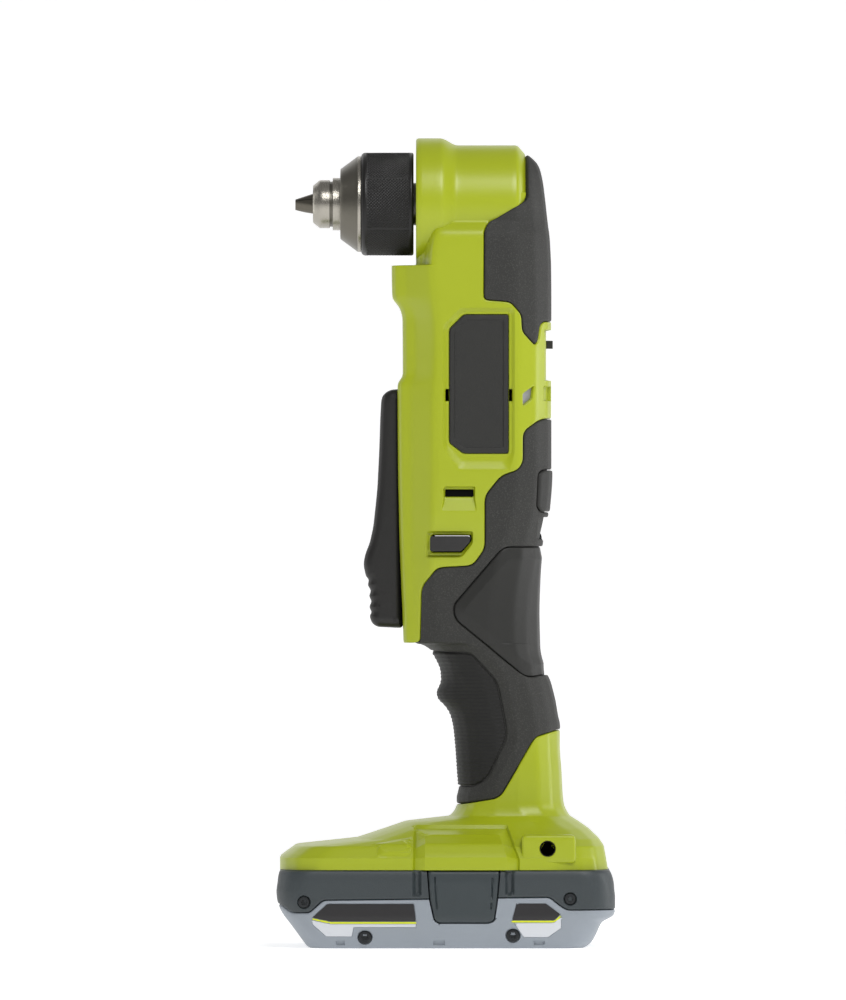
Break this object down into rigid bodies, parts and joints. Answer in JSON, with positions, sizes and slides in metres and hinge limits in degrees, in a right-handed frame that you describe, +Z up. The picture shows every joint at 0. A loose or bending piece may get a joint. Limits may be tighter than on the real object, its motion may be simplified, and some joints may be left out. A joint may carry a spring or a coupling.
{
  "type": "cordless right angle drill",
  "caption": "Cordless right angle drill with a keyless chuck on a turned head, long paddle trigger, rubber grip and slide-out battery pack under a wide foot.",
  "frame": {"origin": "centre of the battery pack's underside, which the drill stands on", "axes": "+Z up along the handle, the chuck points to -X, +Y to the right hand side seen from behind"},
  "size_m": [0.1146, 0.0808, 0.2745],
  "materials": {
    "green_plastic": "fine moulded texture",
    "soft_rubber": "speckled soft touch",
    "smooth_rubber": "smooth satin",
    "ribbed_rubber": "fine cross ribs",
    "badge_plastic": "fine spark texture",
    "cast_alloy": "die cast",
    "bearing_steel": "ground",
    "gear_steel": "hobbed and hardened",
    "can_steel": "zinc plated",
    "magnet": "sintered",
    "bracket_plastic": "moulded phenolic",
    "carbon": "pressed carbon",
    "board": "lacquered",
    "black_plastic": "moulded",
    "spring_steel": "drawn wire",
    "lens": "clear moulded",
    "black_steel": "black oxide",
    "brass": "blackened",
    "chuck_steel": "turned",
    "sleeve_plastic": "fine knurl",
    "jaw_steel": "ground",
    "copper": "enamelled wire",
    "trigger_plastic": "fine moulded texture",
    "dark_case": "fine moulded texture",
    "grey_case": "fine moulded texture",
    "cell_wrap": "shrink wrap",
    "contact_metal": "nickel plated",
    "latch_plastic": "fine moulded texture"
  },
  "bodies": {
    "housing": {"housing_left": "green_plastic", "housing_right": "green_plastic", "overmould_left": "soft_rubber", "overmould_right": "soft_rubber", "palm_pads": "smooth_rubber", "grip_inserts": "ribbed_rubber", "side_badges": "badge_plastic", "rear_badge": "badge_plastic", "gear_case": "cast_alloy", "gear_case_cover": "cast_alloy", "spindle_bearings": "bearing_steel", "carrier_bearing": "bearing_steel", "ring_gear": "gear_steel", "motor_can": "can_steel", "motor_magnets": "magnet", "motor_bearings": "bearing_steel", "motor_end_bracket": "bracket_plastic", "carbon_brushes": "carbon", "control_board": "board", "trigger_switch": "black_plastic", "trigger_pin": "bearing_steel", "trigger_spring": "spring_steel", "led_lens": "lens", "terminal_block": "black_plastic", "housing_screws": "black_steel", "clip_inserts": "brass"},
    "spindle": {"spindle": "gear_steel", "crown_gear": "gear_steel", "chuck_body": "chuck_steel", "chuck_screw": "black_steel"},
    "chuck_sleeve": {"chuck_sleeve": "sleeve_plastic", "jaw_nut": "gear_steel"},
    "jaw_1": {"jaw_1": "jaw_steel"},
    "jaw_2": {"jaw_2": "jaw_steel"},
    "jaw_3": {"jaw_3": "jaw_steel"},
    "carrier": {"planet_carrier": "gear_steel", "planet_pins": "bearing_steel", "bevel_pinion": "gear_steel"},
    "planet_1": {"planet_gear_1": "gear_steel"},
    "planet_2": {"planet_gear_2": "gear_steel"},
    "planet_3": {"planet_gear_3": "gear_steel"},
    "rotor": {"rotor_shaft": "bearing_steel", "rotor_core": "can_steel", "rotor_windings": "copper", "cooling_fan": "bracket_plastic", "sun_gear": "gear_steel"},
    "trigger": {"paddle_trigger": "trigger_plastic"},
    "plunger": {"switch_plunger": "black_plastic"},
    "selector": {"direction_selector": "black_plastic"},
    "slider": {"light_slider": "black_plastic"},
    "battery": {"battery_upper_case": "dark_case", "battery_lower_case": "grey_case", "battery_stem": "dark_case", "battery_cells": "cell_wrap", "cell_holder": "black_plastic", "battery_contacts": "contact_metal", "battery_screws": "black_steel", "latch_springs": "spring_steel"},
    "latch_left": {"battery_latch_left": "latch_plastic"},
    "latch_right": {"battery_latch_right": "latch_plastic"}
  },
  "joints": [
    {"name": "spindle_spin", "type": "hinge", "parent": "housing", "child": "spindle", "pos_m": [0, 0, 0.2521], "axis": [-1, 0, 0], "continuous": true},
    {"name": "carrier_spin", "type": "hinge", "parent": "housing", "child": "carrier", "pos_m": [0.0106, 0, 0.22], "axis": [0, 0, 1], "continuous": true},
    {"name": "rotor_spin", "type": "hinge", "parent": "housing", "child": "rotor", "pos_m": [0.0106, 0, 0.17], "axis": [0, 0, 1], "continuous": true},
    {"name": "planet_1_spin", "type": "hinge", "parent": "carrier", "child": "planet_1", "pos_m": [0.0211, 0, 0.208], "axis": [0, 0, 1], "continuous": true},
    {"name": "planet_2_spin", "type": "hinge", "parent": "carrier", "child": "planet_2", "pos_m": [0.00535, 0.00909, 0.208], "axis": [0, 0, 1], "continuous": true},
    {"name": "planet_3_spin", "type": "hinge", "parent": "carrier", "child": "planet_3", "pos_m": [0.00535, -0.00909, 0.208], "axis": [0, 0, 1], "continuous": true},
    {"name": "sleeve_turn", "type": "hinge", "parent": "spindle", "child": "chuck_sleeve", "pos_m": [-0.02, 0, 0.2521], "axis": [-1, 0, 0], "range_deg": [0, 2880]},
    {"name": "jaw_1_slide", "type": "slide", "parent": "spindle", "child": "jaw_1", "axis": [0.9511, 0, 0.309], "range_m": [0, 0.016]},
    {"name": "jaw_2_slide", "type": "slide", "parent": "spindle", "child": "jaw_2", "axis": [0.9511, -0.2676, -0.1545], "range_m": [0, 0.016]},
    {"name": "jaw_3_slide", "type": "slide", "parent": "spindle", "child": "jaw_3", "axis": [0.9511, 0.2676, -0.1545], "range_m": [0, 0.016]},
    {"name": "trigger_swing", "type": "hinge", "parent": "housing", "child": "trigger", "pos_m": [-0.01258, 0, 0.186], "axis": [0, -1, 0], "range_deg": [0, 4.5], "stiffness_Nm_per_rad": 4, "deforming": ["trigger_spring"]},
    {"name": "plunger_slide", "type": "slide", "parent": "housing", "child": "plunger", "axis": [1, 0, 0], "range_m": [0, 0.0053]},
    {"name": "selector_slide", "type": "slide", "parent": "housing", "child": "selector", "axis": [0, 1, 0], "range_m": [-0.0025, 0.0025]},
    {"name": "slider_slide", "type": "slide", "parent": "housing", "child": "slider", "axis": [0, 0, -1], "range_m": [0, 0.008]},
    {"name": "battery_slide", "type": "slide", "parent": "housing", "child": "battery", "axis": [0, 0, -1], "range_m": [0, 0.075]},
    {"name": "latch_left_press", "type": "slide", "parent": "battery", "child": "latch_left", "axis": [0, 1, 0], "range_m": [0, 0.0025], "stiffness_N_per_m": 800, "deforming": ["latch_springs"]},
    {"name": "latch_right_press", "type": "slide", "parent": "battery", "child": "latch_right", "axis": [0, -1, 0], "range_m": [0, 0.0025], "stiffness_N_per_m": 800, "deforming": ["latch_springs"]}
  ],
  "couplings": [
    {"joint": "carrier_spin", "follows": "spindle_spin", "ratio": 2.5455},
    {"joint": "rotor_spin", "follows": "spindle_spin", "ratio": 12.727},
    {"joint": "planet_1_spin", "follows": "spindle_spin", "ratio": -6.7879},
    {"joint": "planet_2_spin", "follows": "spindle_spin", "ratio": -6.7879},
    {"joint": "planet_3_spin", "follows": "spindle_spin", "ratio": -6.7879},
    {"joint": "jaw_1_slide", "follows": "sleeve_turn", "m_per_rad": 0.00031831},
    {"joint": "jaw_2_slide", "follows": "sleeve_turn", "m_per_rad": 0.00031831},
    {"joint": "jaw_3_slide", "follows": "sleeve_turn", "m_per_rad": 0.00031831},
    {"joint": "plunger_slide", "follows": "trigger_swing", "m_per_rad": 0.067}
  ]
}
